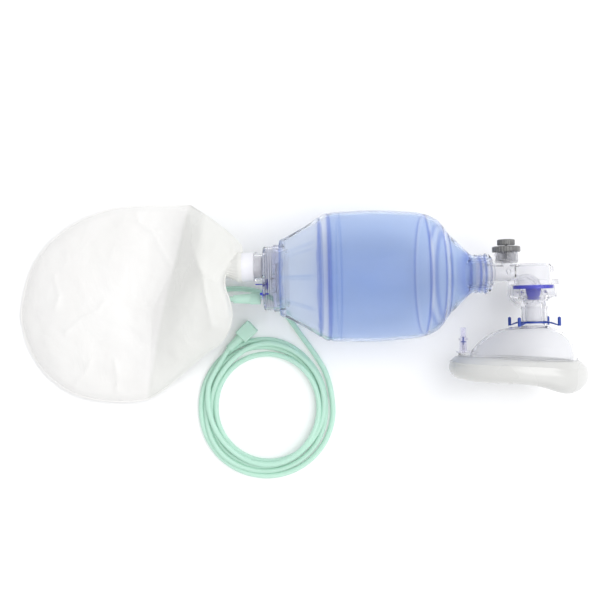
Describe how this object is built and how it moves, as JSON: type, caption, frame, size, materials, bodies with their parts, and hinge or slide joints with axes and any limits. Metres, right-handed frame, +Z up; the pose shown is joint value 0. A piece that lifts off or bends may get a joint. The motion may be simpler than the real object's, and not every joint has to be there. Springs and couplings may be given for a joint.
{
  "type": "bag valve mask",
  "caption": "Hand-squeezed breathing bag with a film oxygen reservoir, relief valve, one-way patient valve, cushioned face mask and coiled oxygen tube.",
  "frame": {"origin": "centre of the bottom of the bounding box, without the free oxygen tube, on the surface the bag lies on", "axes": "+X along the squeeze bag from the reservoir to the mask, +Z up, the mask faces -Y"},
  "size_m": [0.5834, 0.2954, 0.131],
  "materials": {
    "bag_vinyl": "satin",
    "cap_smoke": "gloss",
    "clear_plastic": "gloss",
    "blue_silicone": "satin",
    "blue_plastic": "gloss",
    "white_plastic": "satin",
    "film": "satin",
    "smoke_knob": "gloss",
    "mask_clear": "gloss",
    "cushion_vinyl": "satin",
    "valve_lilac": "gloss",
    "green_vinyl": "satin",
    "spring_steel": "satin"
  },
  "bodies": {
    "bag": {"squeeze_bag": "bag_vinyl", "rear_cap": "cap_smoke", "rear_retaining_ring": "cap_smoke", "intake_seat": "clear_plastic", "neck_insert": "clear_plastic", "oxygen_connector": "green_vinyl", "oxygen_tube": "green_vinyl", "oxygen_coil": "green_vinyl", "supply_connector": "green_vinyl"},
    "grip_left": {"grip_panel_left": "bag_vinyl"},
    "grip_right": {"grip_panel_right": "bag_vinyl"},
    "intake_flap": {"intake_disc": "blue_silicone"},
    "air_inlet": {"air_inlet_valve": "blue_silicone"},
    "overflow": {"overflow_valve": "blue_silicone"},
    "reservoir": {"reservoir_connector": "white_plastic", "reservoir_cuff": "film", "reservoir_bag": "film"},
    "valve_head": {"valve_housing": "clear_plastic", "valve_base": "clear_plastic", "exhalation_port": "clear_plastic", "relief_body": "clear_plastic", "relief_cover": "clear_plastic", "relief_spring": "spring_steel"},
    "duckbill": {"duckbill_valve": "blue_silicone"},
    "relief_poppet": {"relief_disc": "white_plastic", "relief_knob": "smoke_knob"},
    "relief_lock": {"relief_ring": "smoke_knob"},
    "manometer": {"manometer_cap": "clear_plastic"},
    "patient": {"patient_connector": "clear_plastic"},
    "mask": {"mask_shell": "mask_clear", "mask_cushion": "cushion_vinyl", "cushion_valve_body": "valve_lilac", "cushion_valve_spring": "spring_steel"},
    "hooks": {"hook_ring": "blue_plastic"},
    "cushion_pin": {"cushion_valve_plunger": "valve_lilac"}
  },
  "joints": [
    {"name": "squeeze_left", "type": "slide", "parent": "bag", "child": "grip_left", "axis": [0, -1, 0], "range_m": [0, 0.018], "stiffness_N_per_m": 1500},
    {"name": "squeeze_right", "type": "slide", "parent": "bag", "child": "grip_right", "axis": [0, 1, 0], "range_m": [0, 0.018], "stiffness_N_per_m": 1500},
    {"name": "intake_flap_lift", "type": "slide", "parent": "bag", "child": "intake_flap", "axis": [1, 0, 0], "range_m": [0, 0.0015], "stiffness_N_per_m": 60},
    {"name": "air_inlet_lift", "type": "slide", "parent": "bag", "child": "air_inlet", "axis": [1, 0, 0], "range_m": [0, 0.0008], "stiffness_N_per_m": 60},
    {"name": "overflow_lift", "type": "slide", "parent": "bag", "child": "overflow", "axis": [-1, 0, 0], "range_m": [0, 0.0008], "stiffness_N_per_m": 60},
    {"name": "reservoir_pull", "type": "slide", "parent": "bag", "child": "reservoir", "axis": [-1, 0, 0], "range_m": [0, 0.025]},
    {"name": "neck_swivel", "type": "hinge", "parent": "bag", "child": "valve_head", "pos_m": [0.1856, 0.0212, 0.0655], "axis": [1, 0, 0], "continuous": true},
    {"name": "duckbill_drop", "type": "slide", "parent": "valve_head", "child": "duckbill", "axis": [0, -1, 0], "range_m": [0, 0.001], "stiffness_N_per_m": 120},
    {"name": "relief_lift", "type": "slide", "parent": "valve_head", "child": "relief_poppet", "axis": [0, 1, 0], "range_m": [0, 0.002], "stiffness_N_per_m": 600, "deforming": ["relief_spring"]},
    {"name": "relief_lock_turn", "type": "hinge", "parent": "valve_head", "child": "relief_lock", "pos_m": [0.2142, 0.0452, 0.0655], "axis": [0, 1, 0], "range_deg": [0, 90]},
    {"name": "manometer_pull", "type": "slide", "parent": "valve_head", "child": "manometer", "axis": [0, 0, 1], "range_m": [0, 0.006]},
    {"name": "patient_swivel", "type": "hinge", "parent": "valve_head", "child": "patient", "pos_m": [0.2405, -0.0088, 0.0655], "axis": [0, -1, 0], "continuous": true},
    {"name": "mask_pull", "type": "slide", "parent": "patient", "child": "mask", "axis": [0, -1, 0], "range_m": [0, 0.018]},
    {"name": "hook_ring_turn", "type": "hinge", "parent": "mask", "child": "hooks", "pos_m": [0.2405, -0.0283, 0.0655], "axis": [0, -1, 0], "continuous": true},
    {"name": "cushion_pin_press", "type": "slide", "parent": "mask", "child": "cushion_pin", "axis": [0, -1, 0], "range_m": [0, 0.0012], "stiffness_N_per_m": 300, "deforming": ["cushion_valve_spring"]}
  ],
  "couplings": [
    {"joint": "squeeze_right", "follows": "squeeze_left", "ratio": 1}
  ]
}
